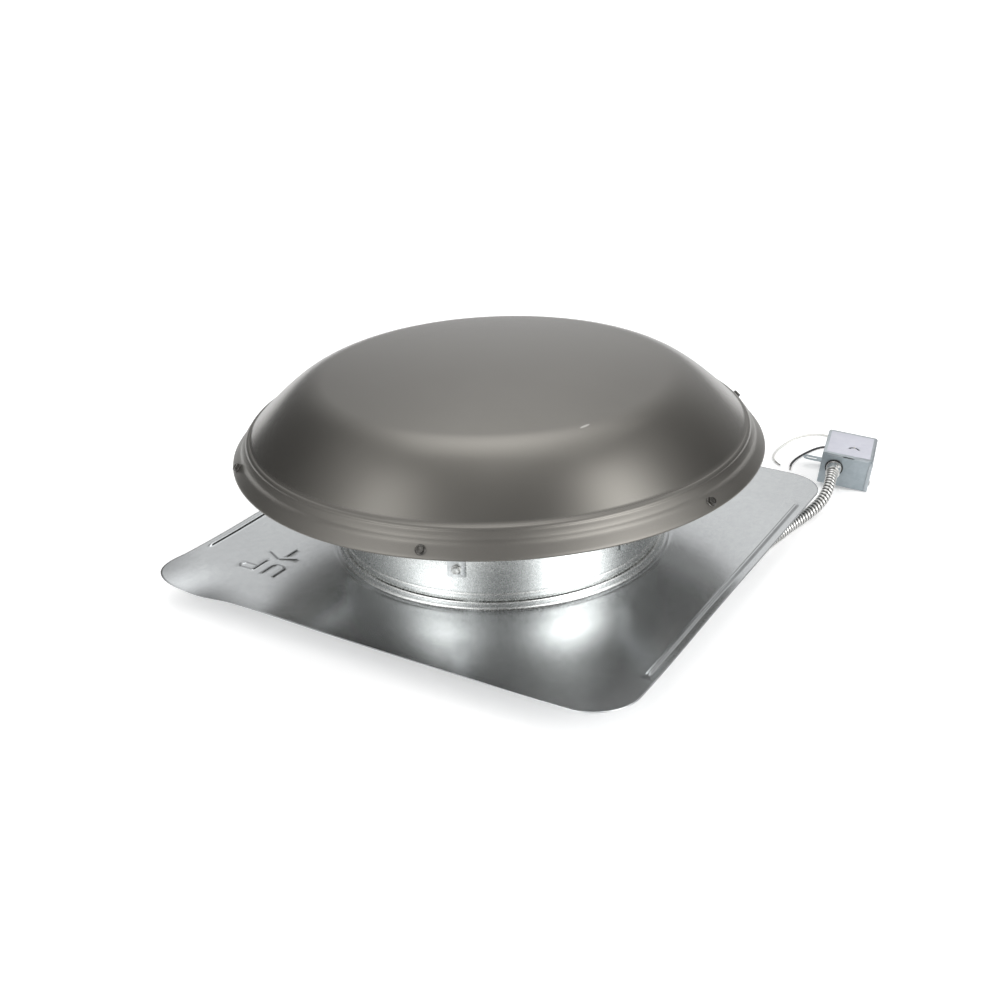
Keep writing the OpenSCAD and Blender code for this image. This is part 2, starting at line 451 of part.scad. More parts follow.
flashing();
collar();
dome();
dome_brackets();
dome_screws();
bracket_screws();
bird_screen();
motor_bracket();
motor_studs();
motor_stud_nuts();
motor_can();
motor_top_bell();
motor_bottom_bell();
stator_core();
stator_windings();
top_bearing();
bottom_bearing();
motor_through_bolts();
motor_connector();
motor_connector_locknut();
motor_shaft();
rotor();
fan_hub();
fan_spider();
fan_blades();
blade_rivets();
hub_set_screw();
flexible_conduit();
box_connector();
box_connector_locknut();
connector_clamp_screws();
thermostat_box();
thermostat_cover();
blank_label();
cover_screws();
thermostat_switch();
setpoint_dial();
lead_bushing();
white_lead();
black_lead();
ground_screw();
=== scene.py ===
import math
import random

import bmesh
import bpy
import numpy as np
from mathutils import Matrix, Vector
from mathutils.geometry import delaunay_2d_cdt

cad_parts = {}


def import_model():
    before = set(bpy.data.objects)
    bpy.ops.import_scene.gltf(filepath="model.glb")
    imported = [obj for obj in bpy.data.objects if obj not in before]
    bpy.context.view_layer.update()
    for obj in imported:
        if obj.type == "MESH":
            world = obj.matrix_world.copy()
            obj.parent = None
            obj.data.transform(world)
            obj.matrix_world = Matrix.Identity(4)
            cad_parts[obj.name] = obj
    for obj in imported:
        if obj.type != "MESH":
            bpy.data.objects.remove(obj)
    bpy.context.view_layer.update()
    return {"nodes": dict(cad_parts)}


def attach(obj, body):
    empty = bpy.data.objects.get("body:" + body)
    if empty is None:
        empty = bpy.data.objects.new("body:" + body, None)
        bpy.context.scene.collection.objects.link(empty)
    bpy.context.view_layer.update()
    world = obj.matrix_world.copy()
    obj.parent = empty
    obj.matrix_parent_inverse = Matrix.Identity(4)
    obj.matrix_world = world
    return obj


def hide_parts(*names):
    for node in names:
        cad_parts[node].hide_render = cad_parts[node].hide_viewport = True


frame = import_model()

scene = bpy.context.scene
scene.view_settings.view_transform = "Standard"
scene.view_settings.look = "None"
AXIS = Vector((0.0, 0.004, 0.0))   # the fan's axis
H = 0.034                          # underside of the flashing
MM = 0.001

# ---------------------------------------------------------------- camera
az, el = math.radians(32.7024), math.radians(27.018)
UNIT = 0.309
back = Vector((-math.sin(az) * math.cos(el), math.cos(az) * math.cos(el), math.sin(el)))
right = Vector((-math.cos(az), -math.sin(az), 0.0))
centre = Vector((0.0, 0.004, H))
cam_at = centre + back * (4.8295 * UNIT)
aim = centre + (right * -0.0036 + Vector((0, 0, 0.131))) * UNIT
fwd = (aim - cam_at).normalized()
cx = fwd.cross(Vector((0, 0, 1))).normalized()
cy = cx.cross(fwd).normalized()
roll = math.radians(-2.4713)
x2 = math.cos(roll) * cx + math.sin(roll) * cy
y2 = -math.sin(roll) * cx + math.cos(roll) * cy
cam_data = bpy.data.cameras.new("camera")
cam_data.sensor_width = 36.0
cam_data.lens = 36.0 * 1216.21 / 1000.0
cam_data.clip_start, cam_data.clip_end = 0.05, 100.0
cam = bpy.data.objects.new("camera", cam_data)
scene.collection.objects.link(cam)
m = Matrix((x2, y2, -fwd)).transposed().to_4x4()
m.translation = cam_at
cam.matrix_world = m
scene.camera = cam

# ---------------------------------------------------------------- node helpers
def new_mat(name, base=(0.5, 0.5, 0.5), rough=0.4, metal=0.0, **sockets):
    mt = bpy.data.materials.new(name)
    mt.use_nodes = True
    b = mt.node_tree.nodes["Principled BSDF"]
    b.inputs["Base Color"].default_value = (*base, 1)
    b.inputs["Roughness"].default_value = rough
    b.inputs["Metallic"].default_value = metal
    for k, v in sockets.items():
        b.inputs[k.replace("_", " ")].default_value = v
    return mt, mt.node_tree, b


def node(nt, kind, **kw):
    n = nt.nodes.new(kind)
    for k, v in kw.items():
        if k in n.inputs:
            n.inputs[k].default_value = v
        else:
            setattr(n, k, v)
    return n


def coords(nt, scale=(1, 1, 1)):
    tc = nt.nodes.new("ShaderNodeTexCoord")
    mp = nt.nodes.new("ShaderNodeMapping")
    mp.inputs["Scale"].default_value = scale
    nt.links.new(tc.outputs["Object"], mp.inputs["Vector"])
    return mp.outputs["Vector"]


def noise(nt, vec, scale, detail=3.0, rough=0.55):
    n = node(nt, "ShaderNodeTexNoise", Scale=scale, Detail=detail, Roughness=rough)
    nt.links.new(vec, n.inputs["Vector"])
    return n.outputs["Fac"]


def voronoi(nt, vec, scale, feature="F1", out="Color"):
    n = node(nt, "ShaderNodeTexVoronoi", feature=feature, Scale=scale)
    nt.links.new(vec, n.inputs["Vector"])
    return n.outputs[out]


def remap(nt, fac, lo, hi, a=0.0, b=1.0):
    n = node(nt, "ShaderNodeMapRange")
    n.inputs["From Min"].default_value = a
    n.inputs["From Max"].default_value = b
    n.inputs["To Min"].default_value = lo
    n.inputs["To Max"].default_value = hi
    nt.links.new(fac, n.inputs["Value"])
    return n.outputs["Result"]


def maths(nt, op, a, b):
    n = node(nt, "ShaderNodeMath", operation=op)
    for i, v in enumerate((a, b)):
        if isinstance(v, (int, float)):
            n.inputs[i].default_value = v
        else:
            nt.links.new(v, n.inputs[i])
    return n.outputs[0]


def ramp(nt, fac, stops):
    n = nt.nodes.new("ShaderNodeValToRGB")
    els = n.color_ramp.elements
    while len(els) < len(stops):
        els.new(0.5)
    for e, (p, c) in zip(els, stops):
        e.position, e.color = p, (*c, 1)
    nt.links.new(fac, n.inputs["Fac"])
    return n.outputs["Color"]


def mix(nt, fac, a, b, blend="MIX"):
    n = node(nt, "ShaderNodeMix", data_type="RGBA", blend_type=blend)
    if isinstance(fac, (int, float)):
        n.inputs[0].default_value = fac
    else:
        nt.links.new(fac, n.inputs[0])
    for i, v in ((6, a), (7, b)):
        if isinstance(v, tuple):
            n.inputs[i].default_value = (*v, 1)
        else:
            nt.links.new(v, n.inputs[i])
    return n.outputs[2]


def bump(nt, b, height, strength, distance):
    n = node(nt, "ShaderNodeBump", Strength=strength, Distance=distance)
    nt.links.new(height, n.inputs["Height"])
    nt.links.new(n.outputs["Normal"], b.inputs["Normal"])


# ---------------------------------------------------------------- materials
def galvanised(name, dark, light, r0, r1, cell, bump_s=0.15, cell_mix=0.5, streak=(1, 1, 1)):
    mt, nt, b = new_mat(name, metal=1.0)
    v = coords(nt)
    cells = voronoi(nt, v, 1.0 / cell)
    sep = node(nt, "ShaderNodeSeparateColor")
    nt.links.new(cells, sep.inputs[0])
    fine = noise(nt, coords(nt, streak), 260.0, 4.0, 0.6)
    broad = noise(nt, v, 9.0, 3.0)
    f = maths(nt, "ADD", maths(nt, "MULTIPLY", sep.outputs[0], cell_mix), maths(nt, "MULTIPLY", fine, 1 - cell_mix))
    f = maths(nt, "ADD", maths(nt, "MULTIPLY", f, 0.75), maths(nt, "MULTIPLY", broad, 0.25))
    nt.links.new(ramp(nt, f, [(0.22, dark), (0.78, light)]), b.inputs["Base Color"])
    g = maths(nt, "ADD", maths(nt, "MULTIPLY", sep.outputs[1], cell_mix), maths(nt, "MULTIPLY", broad, 1 - cell_mix))
    nt.links.new(remap(nt, g, r0, r1, 0.25, 0.75), b.inputs["Roughness"])
    bump(nt, b, f, bump_s, 0.0004)
    return mt


M = {}
def flashing_steel():
    mt, nt, b = new_mat("flashing_steel", metal=0.90)
    v = coords(nt)
    broad = noise(nt, v, 6.0, 4.0, 0.5)
    fine = noise(nt, coords(nt, (1, 0.12, 1)), 420.0, 4.0, 0.6)
    cells = voronoi(nt, v, 210.0)
    sep = node(nt, "ShaderNodeSeparateColor")
    nt.links.new(cells, sep.inputs[0])
    f = maths(nt, "ADD", maths(nt, "MULTIPLY", broad, 0.45), maths(nt, "MULTIPLY", fine, 0.35))
    f = maths(nt, "ADD", f, maths(nt, "MULTIPLY", sep.outputs[0], 0.20))
    col = ramp(nt, f, [(0.25, (0.62, 0.64, 0.65)), (0.75, (0.69, 0.71, 0.72))])
    # painted shade: the steel colour is mixed towards near-black where the per-vertex attribute marks the pressed
    # strokes, the ribs' inner flanks, the free edge and the marked corner
    at = node(nt, "ShaderNodeAttribute", attribute_name="painted_shade")
    nt.links.new(mix(nt, at.outputs["Fac"], col, (0.07, 0.075, 0.08)), b.inputs["Base Color"])
    nt.links.new(remap(nt, maths(nt, "ADD", maths(nt, "MULTIPLY", broad, 0.6), maths(nt, "MULTIPLY", sep.outputs[1], 0.4)), 0.21, 0.25, 0.3, 0.7), b.inputs["Roughness"])
    bump(nt, b, fine, 0.012, 0.0003)
    return mt


M["flashing_steel"] = flashing_steel()
M["collar_steel"] = galvanised("collar_steel", (0.63, 0.65, 0.64), (0.84, 0.85, 0.84), 0.20, 0.30, 0.0014, 0.08, 0.5)
M["bracket_steel"] = galvanised("bracket_steel", (0.52, 0.54, 0.54), (0.78, 0.79, 0.79), 0.25, 0.40, 0.003, 0.15, 0.5)
M["screen_wire"] = galvanised("screen_wire", (0.40, 0.41, 0.42), (0.62, 0.63, 0.64), 0.30, 0.45, 0.004, 0.1)
def conduit_steel():
    mt, nt, b = new_mat("conduit_steel", metal=1.0)
    v = coords(nt)
    fine = noise(nt, v, 500.0, 4.0, 0.6)
    broad = noise(nt, v, 45.0, 3.0)
    f = maths(nt, "ADD", maths(nt, "MULTIPLY", fine, 0.5), maths(nt, "MULTIPLY", broad, 0.5))
    col = ramp(nt, f, [(0.3, (0.72, 0.72, 0.70)), (0.7, (0.90, 0.90, 0.88))])
    # painted shade: where the per-vertex attribute marks the grooves between the crests, the steel colour is mixed
    # towards near-black
    at = node(nt, "ShaderNodeAttribute", attribute_name="painted_shade")
    nt.links.new(mix(nt, at.outputs["Fac"], col, (0.03, 0.028, 0.026)), b.inputs["Base Color"])
    nt.links.new(remap(nt, f, 0.24, 0.36, 0.3, 0.7), b.inputs["Roughness"])
    bump(nt, b, fine, 0.06, 0.0002)
    return mt


M["conduit_steel"] = conduit_steel()
M["box_steel"] = galvanised("box_steel", (0.34, 0.39, 0.42), (0.45, 0.50, 0.53), 0.38, 0.50, 0.010, 0.05, 0.2)
M["cover_steel"] = galvanised("cover_steel", (0.40, 0.44, 0.46), (0.54, 0.58, 0.61), 0.34, 0.46, 0.008, 0.05, 0.25)
M["blade_aluminium"] = galvanised("blade_aluminium", (0.66, 0.67, 0.68), (0.80, 0.81, 0.82), 0.26, 0.38, 0.03, 0.05, 0.1, (1, 1, 12))


def dome_paint():
    mt, nt, b = new_mat("dome_paint", rough=0.30, metal=0.92)
    v = coords(nt)
    broad = noise(nt, v, 7.0, 4.0)
    fine = noise(nt, v, 900.0, 2.0)
    f = maths(nt, "ADD", maths(nt, "MULTIPLY", broad, 0.6), maths(nt, "MULTIPLY", fine, 0.4))
    base = ramp(nt, f, [(0.30, (0.168, 0.160, 0.146)), (0.70, (0.190, 0.183, 0.168))])
    # dust and small rubbed specks
    speck = voronoi(nt, v, 130.0, out="Distance")
    base = mix(nt, maths(nt, "MULTIPLY", ramp_fac(nt, speck, 0.035, 0.02), 0.35), base, (0.30, 0.30, 0.28))
    # one small scuff below the crown
    rel = node(nt, "ShaderNodeVectorMath", operation="SUBTRACT")
    nt.links.new(v, rel.inputs[0])
    rel.inputs[1].default_value = (-0.1743, 0.1116, 0.2422)
    along = node(nt, "ShaderNodeVectorMath", operation="DOT_PRODUCT")
    nt.links.new(rel.outputs[0], along.inputs[0])
    along.inputs[1].default_value = (-0.323, -0.945, 0.05)
    size = node(nt, "ShaderNodeVectorMath", operation="LENGTH")
    nt.links.new(rel.outputs[0], size.inputs[0])
    a2 = maths(nt, "POWER", maths(nt, "ABSOLUTE", along.outputs["Value"], 0.0), 2.0)
    l2 = maths(nt, "POWER", size.outputs["Value"], 2.0)
    d2 = maths(nt, "SUBTRACT", maths(nt, "MULTIPLY", l2, 1.0 / 0.0016 ** 2), maths(nt, "MULTIPLY", a2, 1.0 / 0.0016 ** 2 - 1.0 / 0.0065 ** 2))
    d2 = maths(nt, "ADD", d2, remap(nt, noise(nt, v, 700.0, 2.0), -0.5, 0.5))
    nt.links.new(mix(nt, maths(nt, "MULTIPLY", ramp_fac(nt, d2, 1.3, 0.6), 0.75), base, (0.42, 0.41, 0.39)), b.inputs["Base Color"])
    # the brim is duller than the pressed crown
    out = node(nt, "ShaderNodeVectorMath", operation="MULTIPLY")
    nt.links.new(v, out.inputs[0])
    out.inputs[1].default_value = (1, 1, 0)
    rad = node(nt, "ShaderNodeVectorMath", operation="LENGTH")
    nt.links.new(out.outputs[0], rad.inputs[0])
    nt.links.new(maths(nt, "ADD", remap(nt, broad, 0.21, 0.25, 0.3, 0.7), remap(nt, rad.outputs["Value"], 0.0, 0.17, 0.286, 0.297)), b.inputs["Roughness"])
    bump(nt, b, fine, 0.05, 0.0003)
    return mt


def ramp_fac(nt, fac, hi, lo):
    """1 where fac is under lo, 0 where it is over hi."""
    return remap(nt, fac, 1.0, 0.0, lo, hi)


M["dome_paint"] = dome_paint()


def cast(name, a, bcol, r0, r1, metal, scale=400.0, s=0.25):
    mt, nt, b = new_mat(name, metal=metal)
    v = coords(nt)
    f = noise(nt, v, scale, 5.0, 0.65)
    g = noise(nt, v, 40.0, 3.0)
    h = maths(nt, "ADD", maths(nt, "MULTIPLY", f, 0.5), maths(nt, "MULTIPLY", g, 0.5))
    nt.links.new(ramp(nt, h, [(0.3, a), (0.7, bcol)]), b.inputs["Base Color"])
    nt.links.new(remap(nt, h, r0, r1, 0.3, 0.7), b.inputs["Roughness"])
    bump(nt, b, f, s, 0.0002)
    return mt


M["bell_casting"] = cast("bell_casting", (0.40, 0.41, 0.42), (0.60, 0.61, 0.62), 0.34, 0.55, 1.0)
M["connector_zinc"] = cast("connector_zinc", (0.80, 0.80, 0.79), (0.94, 0.94, 0.93), 0.18, 0.34, 1.0, 600.0, 0.15)
M["screw_steel"] = cast("screw_steel", (0.50, 0.51, 0.50), (0.74, 0.74, 0.72), 0.22, 0.38, 1.0, 900.0, 0.12)
M["brim_screw"] = cast("brim_screw", (0.05, 0.048, 0.044), (0.15, 0.145, 0.135), 0.20, 0.34, 0.85, 900.0, 0.15)
M["motor_enamel"] = cast("motor_enamel", (0.018, 0.018, 0.020), (0.034, 0.034, 0.036), 0.28, 0.42, 0.0, 1200.0, 0.10)
M["lamination"] = cast("lamination", (0.12, 0.12, 0.125), (0.24, 0.24, 0.245), 0.40, 0.55, 0.9, 500.0, 0.2)
M["bronze"] = cast("bronze", (0.35, 0.24, 0.10), (0.55, 0.40, 0.20), 0.35, 0.5, 1.0, 1500.0, 0.25)
M["shaft_steel"] = cast("shaft_steel", (0.60, 0.60, 0.61), (0.72, 0.72, 0.73), 0.14, 0.22, 1.0, 700.0, 0.03)
M["winding"] = cast("winding", (0.32, 0.12, 0.04), (0.55, 0.24, 0.09), 0.28, 0.4, 0.6, 700.0, 0.6)
M["tinned_copper"] = cast("tinned_copper", (0.30, 0.29, 0.28), (0.50, 0.48, 0.46), 0.30, 0.42, 1.0, 1500.0, 0.2)
M["switch_phenolic"] = cast("switch_phenolic", (0.015, 0.015, 0.016), (0.035, 0.034, 0.034), 0.30, 0.42, 0.0, 600.0, 0.1)
M["dial_plastic"] = cast("dial_plastic", (0.62, 0.60, 0.54), (0.74, 0.72, 0.66), 0.38, 0.5, 0.0, 300.0, 0.05)
M["bushing_rubber"] = cast("bushing_rubber", (0.012, 0.012, 0.012), (0.03, 0.03, 0.03), 0.5, 0.65, 0.0, 1000.0, 0.2)
M["white_insulation"] = cast("white_insulation", (0.66, 0.66, 0.63), (0.84, 0.84, 0.81), 0.34, 0.46, 0.0, 300.0, 0.05)
M["black_insulation"] = cast("black_insulation", (0.012, 0.012, 0.014), (0.032, 0.032, 0.035), 0.32, 0.45, 0.0, 300.0, 0.05)
M["ground_green"] = cast("ground_green", (0.02, 0.16, 0.05), (0.05, 0.30, 0.10), 0.25, 0.4, 0.6, 800.0, 0.1)
M["label_film"] = cast("label_film", (0.51, 0.515, 0.585), (0.60, 0.605, 0.66), 0.40, 0.52, 0.0, 120.0, 0.03)

# ---------------------------------------------------------------- mesh helpers
def piece(name, verts, faces, slot, body="housing", reps=(), sharp=35, mat=None, slot_name=True):
    me = bpy.data.meshes.new(name)
    me.from_pydata([tuple(v) for v in verts], [], faces)
    me.validate()
    return finish_piece(name, me, slot, body, reps, sharp, mat)


def finish_piece(name, me, slot, body="housing", reps=(), sharp=35, mat=None):
    me.update()
    me.polygons.foreach_set("use_smooth", [True] * len(me.polygons))
    if sharp:
        me.set_sharp_from_angle(angle=math.radians(sharp))
    me.materials.clear()
    me.materials.append(mat or M[slot])
    o = bpy.data.objects.new(name, me)
    scene.collection.objects.link(o)
    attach(o, body)
    if reps:
        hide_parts(*reps)
    return o


def paint(o, values):
    """How much painted shade lies at each vertex."""
    at = o.data.attributes.new("painted_shade", "FLOAT", "POINT")
    at.data.foreach_set("value", values)


def lathe(profile, n, close=True, c=(0.0, 0.004)):
    """profile is (radius, height) in metres; close joins its last point to its first. A point on the axis is one vertex."""
    verts, rows, faces = [], [], []
    for r, z in profile:
        if r < 1e-7:
            rows.append([len(verts)] * n)
            verts.append((c[0], c[1], z))
        else:
            rows.append(list(range(len(verts), len(verts) + n)))
            verts += [(c[0] + r * math.cos(2 * math.pi * k / n), c[1] + r * math.sin(2 * math.pi * k / n), z) for k in range(n)]
    pairs = list(zip(rows, rows[1:])) + ([(rows[-1], rows[0])] if close else [])
    for a, b in pairs:
        for k in range(n):
            q = [a[k], a[(k + 1) % n], b[(k + 1) % n], b[k]]
            f = [q[i] for i in range(4) if q[i] != q[i - 1]]
            if len(f) >= 3:
                faces.append(f[::-1])
    return verts, faces


def offset_profile(p, t):
    p = np.array(p, float)
    d = np.gradient(p, axis=0)
    d /= np.linalg.norm(d, axis=1)[:, None]
    n = np.stack([-d[:, 1], d[:, 0]], 1)
    q = p + t * n
    q[:, 0] = np.maximum(q[:, 0], 0)
    return q


def catmull(p, k):
    p = [np.array(a, float) for a in p]
    out = []
    for i in range(len(p) - 1):
        a, b, c, d = p[max(i - 1, 0)], p[i], p[i + 1], p[min(i + 2, len(p) - 1)]
        for j in range(k):
            t = j / k
            out.append(0.5 * (2 * b + (c - a) * t + (2 * a - 5 * b + 4 * c - d) * t * t + (3 * b - a - 3 * c + d) * t ** 3))
    out.append(p[-1])
    return np.array(out)


def resample(path, step):
    path = np.array(path, float)
    s = np.concatenate([[0], np.cumsum(np.linalg.norm(np.diff(path, axis=0), axis=1))])
    n = max(2, int(round(s[-1] / step)) + 1)
    t = np.linspace(0, s[-1], n)
    return np.stack([np.interp(t, s, path[:, i]) for i in range(3)], 1), t, s[-1]


def frames(path):
    """Parallel-transported frames along a path."""
    tan = np.gradient(path, axis=0)
    tan /= np.linalg.norm(tan, axis=1)[:, None]
    u = np.cross(tan[0], [0, 0, 1.0])
    u /= np.linalg.norm(u)
    us = []
    for t in tan:
        u = u - t * (u @ t)
        u = u / np.linalg.norm(u)
        us.append(u)
    us = np.array(us)
    return tan, us, np.cross(tan, us)


def tube(path, radius, sides, caps=True):
    """radius(i, angle) in metres, or a number."""
    tan, us, vs = frames(path)
    verts, faces = [], []
    for i, p in enumerate(path):
        for k in range(sides):
            a = 2 * math.pi * k / sides
            r = radius(i, a) if callable(radius) else radius
            verts.append(p + r * (math.cos(a) * us[i] + math.sin(a) * vs[i]))
    for i in range(len(path) - 1):
        for k in range(sides):
            a, b = i * sides + k, i * sides + (k + 1) % sides
            faces.append([a, b, b + sides, a + sides])
    if caps:
        faces.append([k for k in range(sides)][::-1])
        faces.append([(len(path) - 1) * sides + k for k in range(sides)])
    return verts, faces


def merge(parts):
    verts, faces = [], []
    for v, f in parts:
        o = len(verts)
        verts += [tuple(x) for x in v]
        faces += [[i + o for i in q] for q in f]
    return verts, faces


def placed(part, matrix):
    v, f = part
    return [tuple(matrix @ Vector(p)) for p in v], f


def spin(profile, n, close=False):
    return lathe(profile, n, close, (0.0, 0.0))


def refine(node_name, slot, bevel=0.35, segments=2, body="housing", sharp=35, angle=28, mat=None, suffix="_finished", folds=None):
    """A CAD node's own shape with its edges eased, as a new piece that stands for it."""
    src = frame["nodes"][node_name]
    bm = bmesh.new()
    bm.from_mesh(src.data)
    bmesh.ops.remove_doubles(bm, verts=bm.verts, dist=2e-6)
    bmesh.ops.dissolve_limit(bm, angle_limit=math.radians(0.6), verts=bm.verts, edges=bm.edges)
    if folds:      # long bent edges of a sheet-metal part: (least length, bend radius) in mm
        edges = [e for e in bm.edges if len(e.link_faces) == 2 and e.calc_length() > folds[0] * MM and 1.4 < e.calc_face_angle(0) < 1.7 and e.is_convex and folds[2](e)]
        bmesh.ops.bevel(bm, geom=edges, offset=folds[1] * MM, segments=5, profile=0.5, affect="EDGES", clamp_overlap=True)
    if bevel:
        edges = [e for e in bm.edges if len(e.link_faces) == 2 and e.calc_face_angle(0) > math.radians(angle)]
        if edges:
            bmesh.ops.bevel(bm, geom=edges, offset=bevel * MM, segments=segments, profile=0.6, affect="EDGES", clamp_overlap=True)
    bmesh.ops.triangulate(bm, faces=[f for f in bm.faces if len(f.verts) > 4])
    me = bpy.data.meshes.new(node_name + suffix)
    bm.to_mesh(me)
    bm.free()
    return finish_piece(node_name + suffix, me, slot, body, (node_name,), sharp, mat)


# ---------------------------------------------------------------- box frame
BW, BD, BH = 66.0, 80.0, 45.0
TILT, YAW = math.radians(7), math.radians(192)
BO = Vector((-275.6, -357.0, BW * math.sin(TILT)))
BOXM = Matrix.Translation(BO * MM) @ Matrix.Rotation(YAW, 4, "Z") @ Matrix.Rotation(TILT, 4, "Y") @ Matrix.Scale(MM, 4)


def boxpt(x, y, z):
    """A point in the thermostat box's own frame (mm) as millimetres in the row frame."""
    return list((BOXM @ Vector((x, y, z))) * 1000)


# ---------------------------------------------------------------- cords
conduit_route = [boxpt(18, -5, 25), boxpt(18, -13, 25), boxpt(18, -22, 25), [-303.5, -325, 29.2],
    [-306.4, -308, 25], [-306.8, -291, 19.2], [-304, -273, 13.9], [-298.5, -252, 9.9], [-292.5, -229, 8.1], [-287.5, -204, 7.6],
    [-283.5, -178, 7.6], [-279, -150, 7.6], [-272, -122, 7.6], [-261, -95, 7.6], [-245, -71, 7.6], [-225, -50, 7.6],
    [-202, -32, 7.7], [-179, -18, 8.8], [-158, -8, 12.2], [-139, -1.5, 17.8], [-121, 2, 24.6], [-104, 3.6, 31],
    [-89, 4, 34.8], [-76, 4, 35.9], [-66, 4, 36], [-55.3, 4, 36]]
white_route = [boxpt(16.8, BD - 4, 14), boxpt(16.8, BD + 4, 14), [-273.6, -455, 17], [-271.6, -467.5, 10.8], [-269.8, -480, 5],
    [-266.5, -493, 2.1], [-261, -506, 1.6], [-253, -518, 1.6], [-242, -527, 1.6], [-229, -531, 1.6], [-216, -527, 1.6], [-205, -517, 1.6],
    [-197, -503, 1.6], [-192, -486, 1.6], [-189, -468, 1.6], [-187.5, -450, 1.6], [-188.5, -434, 1.6], [-192, -420, 1.6],
    [-199, -409, 1.6], [-209, -400, 1.6]]
black_route = [boxpt(11.2, BD - 4, 14), boxpt(11.2, BD + 4, 14), [-268.2, -453.5, 17.2], [-265.6, -465, 10.4], [-262, -476, 4.4],
    [-256.8, -484.8, 1.9], [-249, -489.5, 1.6], [-241, -486.5, 1.6], [-234, -475.5, 1.6], [-228.5, -460, 1.6], [-224, -443, 1.6],
    [-221.5, -426, 1.6], [-222, -409, 1.6], [-226.5, -392, 1.6]]


def conduit():
    path = catmull(conduit_route[::-1], 8) * MM      # from the motor to the box
    path, t, length = resample(path, 0.0008)
    pitch = 0.0056

    def crest(i, a):
        w = math.cos(2 * math.pi * t[i] / pitch + a)
        return 0.5 + 0.5 * math.tanh(3.0 * w + 0.4)

    def radius(i, a):
        return 0.0064 + 0.0011 * crest(i, a)
    v, f = tube(path, radius, 28)
    o = piece("flexible_conduit_spiral", v, f, "conduit_steel", reps=("flexible_conduit",), sharp=0)
    # painted shade in the grooves between the spiral's crests, one value per vertex
    paint(o, [(1 - crest(i, 2 * math.pi * k / 28)) * 0.95 for i in range(len(path)) for k in range(28)])
    return o, path, length


conduit_piece, conduit_path, conduit_len = conduit()


def lead(name, route, slot, cad, tip_len, kink):
    path = catmull(route, 4) * MM
    path, t, length = resample(path, 0.0015)
    keep = t <= length - tip_len
    ins = path[keep]
    v, f = tube(ins, lambda i, a: 0.0015, 16)
    o = piece(name, v, f, slot, reps=(cad,), sharp=40)
    bare = path[~keep]
    bare = np.vstack([ins[-1], bare])
    side = np.cross(bare[-1] - bare[0], [0, 0, 1.0])
    side /= np.linalg.norm(side)
    u = np.linspace(0, 1, len(bare))
    bare = bare + side * (kink * np.sin(u * math.pi * 1.0) * u)[:, None]
    bare[:, 2] = np.maximum(bare[:, 2], 0.00125)
    # seven strands twisted together
    tan, us, vs = frames(bare)
    parts = [tube(bare, 0.00042, 8)]
    s = np.linspace(0, tip_len, len(bare))
    for k in range(6):
        a = s / 0.012 * 2 * math.pi + k * math.pi / 3
        line = bare + 0.00074 * (np.cos(a)[:, None] * us + np.sin(a)[:, None] * vs)
        parts.append(tube(line, 0.00040, 8))
    tv, tf = merge(parts)
    tip = piece(name + "_strands", tv, tf, None, sharp=0, mat=M["tinned_copper"])
    return o, tip, ins, length


white_piece, white_tip, white_path, white_len = lead("white_wire_lead", white_route, "white_insulation", "white_lead", 0.012, 0.0)
black_piece, black_tip, black_path, black_len = lead("black_wire_lead", black_route, "black_insulation", "black_lead", 0.010, 0.0)

# ---------------------------------------------------------------- dome
def bez(a, b, c, d, n):
    return [(1 - t) ** 3 * a + 3 * (1 - t) ** 2 * t * b + 3 * (1 - t) * t * t * c + t ** 3 * d for t in [i / n for i in range(1, n + 1)]]


def dome():
    cr_r, drop, top = 197.0, 12.5, 222.1
    foot = np.array([286.9, 150.8])
    crown = [np.array([cr_r * i / 30, top - drop * (i / 30) ** 2]) for i in range(31)]
    sd = np.array([1, -2 * drop / cr_r])
    sd /= np.linalg.norm(sd)
    sl = np.linalg.norm(foot - crown[-1])
    a = math.radians(43.7)
    sh = bez(crown[-1], crown[-1] + 0.279 * sl * sd, foot + 0.497 * sl * np.array([-math.cos(a), math.sin(a)]), foot, 36)
    br = catmull([[286.9, 150.8], [289.2, 150.4], [291.2, 148.9], [292.2, 146.9], [294.6, 144.2], [296.6, 141.4], [297.9, 138.3],
                  [299.5, 135.6], [303.6, 131.2], [307.4, 127.0], [308.7, 125.2]], 5)[1:]
    outer = np.array(crown + sh + list(br))
    inner = offset_profile(outer, -0.9)
    inner[0] = [0, inner[0][1]]
    # turned-under hem at the edge
    hem = [[309.0, 124.3], [308.7, 123.7], [307.9, 123.6], [307.2, 124.1]]
    prof = np.vstack([outer, hem, inner[::-1][1:]]) * MM
    prof[:, 1] += H
    v, f = lathe([tuple(p) for p in prof], 288, close=False)
    return piece("dome_shell", v, f, "dome_paint", reps=("dome",), sharp=0)


dome()

# ---------------------------------------------------------------- flashing
STROKES = [[(173, 227), (173, 209), (177, 204.5), (187, 204.5), (191, 209), (191, 227)],
           [(206, 203), (206, 227), (224, 227), (229, 222), (224, 217), (208, 217)],
           [(176, 184), (195, 193), (214, 184)], [(191, 182), (191, 166)]]
SEGS = [(np.array(a, float), np.array(b, float)) for s in STROKES for a, b in zip(s, s[1:])]
FW, FR, PY = 304.5, 50.0, -8.4
NECK, FLARE = 191.5, 244.0


def stroke_dist(p):
    d = 1e9
    for a, b in SEGS:
        t = np.clip(((p - a) @ (b - a)) / ((b - a) @ (b - a)), 0, 1)
        d = min(d, np.linalg.norm(p - a - t * (b - a)))
    return d


